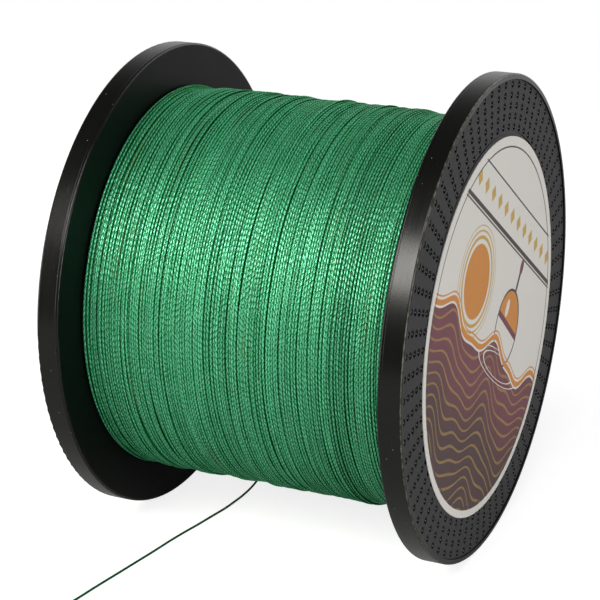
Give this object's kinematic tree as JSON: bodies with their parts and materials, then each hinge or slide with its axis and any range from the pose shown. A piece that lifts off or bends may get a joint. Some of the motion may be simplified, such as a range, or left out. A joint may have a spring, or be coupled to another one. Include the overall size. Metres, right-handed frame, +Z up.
{
  "type": "fishing line spool",
  "caption": "Plastic spool full of green braided fishing line, standing on the rims of its round flanges, with dotted end covers, paper labels and a loose tail of line.",
  "frame": {"origin": "middle of the spool on its axis, halfway between the two rims' end faces", "axes": "+X along the spool's axis towards the flange with the full label, +Z up with the spool standing on its rims, -Y towards the side where the loose tail runs"},
  "size_m": [0.0652, 0.1115, 0.085],
  "materials": {
    "rim_plastic": "satin",
    "cover_plastic": "matte",
    "label_paper": "satin",
    "tape": "satin",
    "line_braid": "satin"
  },
  "bodies": {
    "root": {"right_half": "rim_plastic", "left_half": "rim_plastic", "right_cover": "cover_plastic", "left_cover": "cover_plastic", "right_label": "label_paper", "left_label": "label_paper", "start_tape": "tape", "line_pack": "line_braid", "line_outer_turns": "line_braid", "line_tail": "line_braid"}
  },
  "joints": []
}
